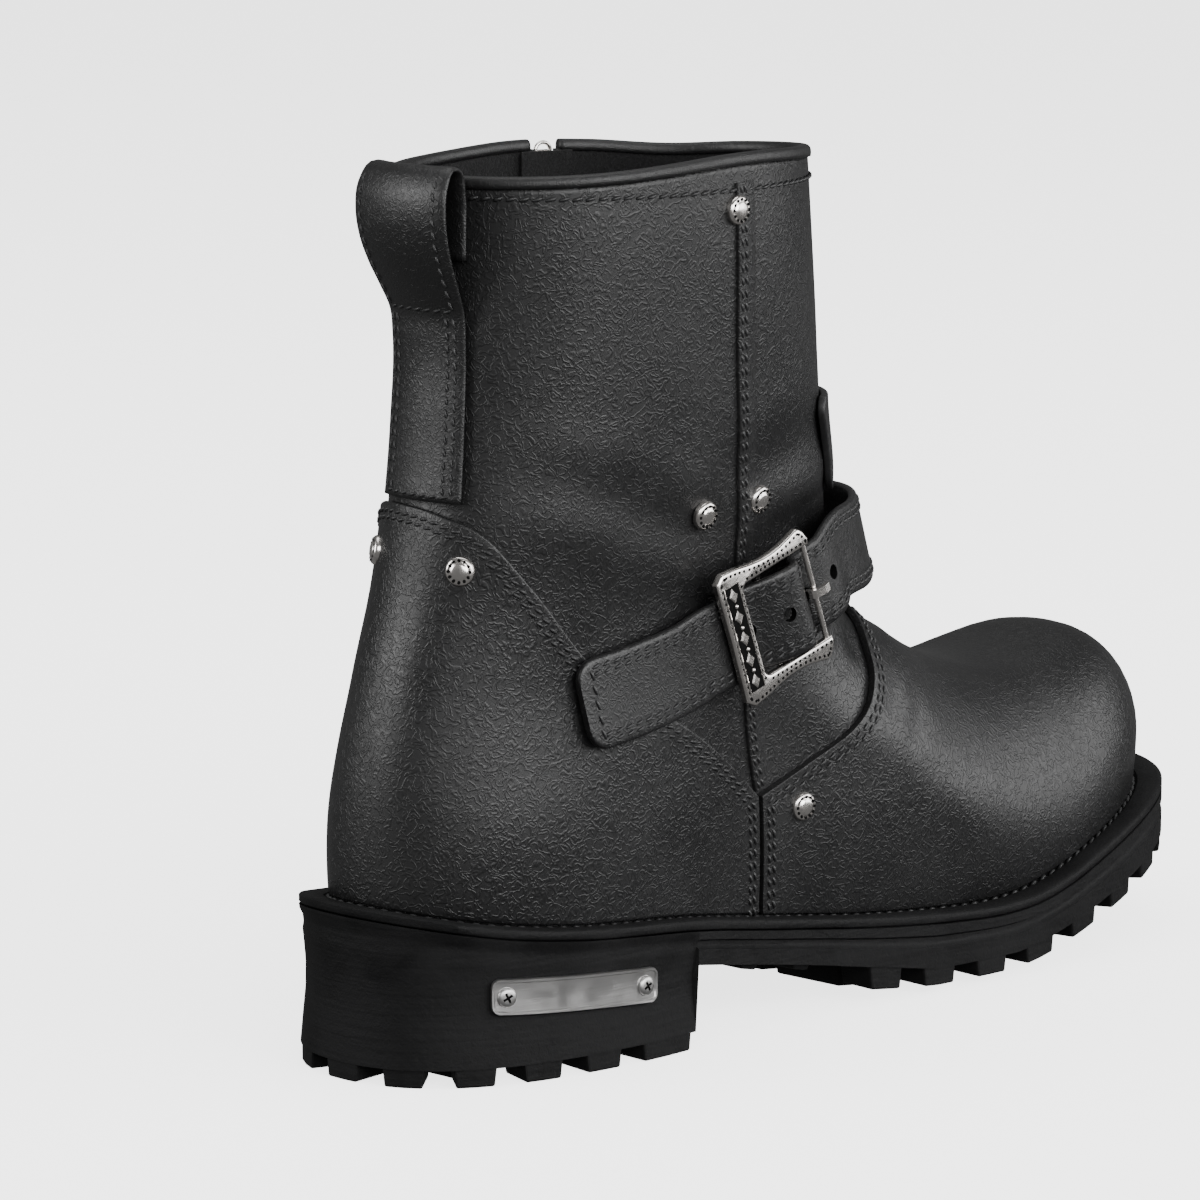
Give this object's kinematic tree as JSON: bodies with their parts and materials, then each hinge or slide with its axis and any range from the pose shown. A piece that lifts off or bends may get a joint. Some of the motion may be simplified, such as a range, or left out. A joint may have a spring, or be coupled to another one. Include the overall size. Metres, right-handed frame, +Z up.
{
  "type": "engineer boot",
  "caption": "Right-foot black leather engineer boot with lug sole, block heel, ankle strap with metal buckle, rear pull loop, side zip, rivets and bare heel plate.",
  "frame": {"origin": "on the floor, at the heel's resting flat, under the middle of the heel", "axes": "+Z up, +X along the foot from heel to toe, -Y the outer side of this right boot and +Y the inner side"},
  "size_m": [0.3057, 0.1038, 0.2294],
  "materials": {
    "leather": "semi-matte black grain",
    "lining": "matte black textile",
    "rubber": "matte black",
    "silver": "aged silver plating",
    "plate": "fine brushed",
    "black_metal": "black lacquered"
  },
  "bodies": {
    "boot": {"buckle": "silver", "buckle_prong": "silver", "chape": "leather", "collar_binding": "leather", "counter": "leather", "front_plate": "black_metal", "heel_plate": "plate", "insole": "lining", "outsole": "rubber", "plate_screw_1": "plate", "plate_screw_2": "plate", "pull_loop": "leather", "rivet_counter_inner": "silver", "rivet_counter_outer": "silver", "rivet_shaft_front": "silver", "rivet_shaft_rear": "silver", "rivet_shaft_top": "silver", "rivet_vamp_inner": "silver", "rivet_vamp_outer": "silver", "strap": "leather", "upper": "leather", "vamp": "leather", "welt": "rubber", "zip_slider": "silver", "zip_tape": "lining", "zip_teeth": "black_metal"},
    "zip_pull_tab": {"zip_pull": "silver"}
  },
  "joints": [
    {"name": "zip_pull_hinge", "type": "hinge", "parent": "boot", "child": "zip_pull_tab", "pos_m": [0.06138, 0.03495, 0.21973], "axis": [0.9785, -0.206, 0], "range_deg": [0, 160]}
  ]
}
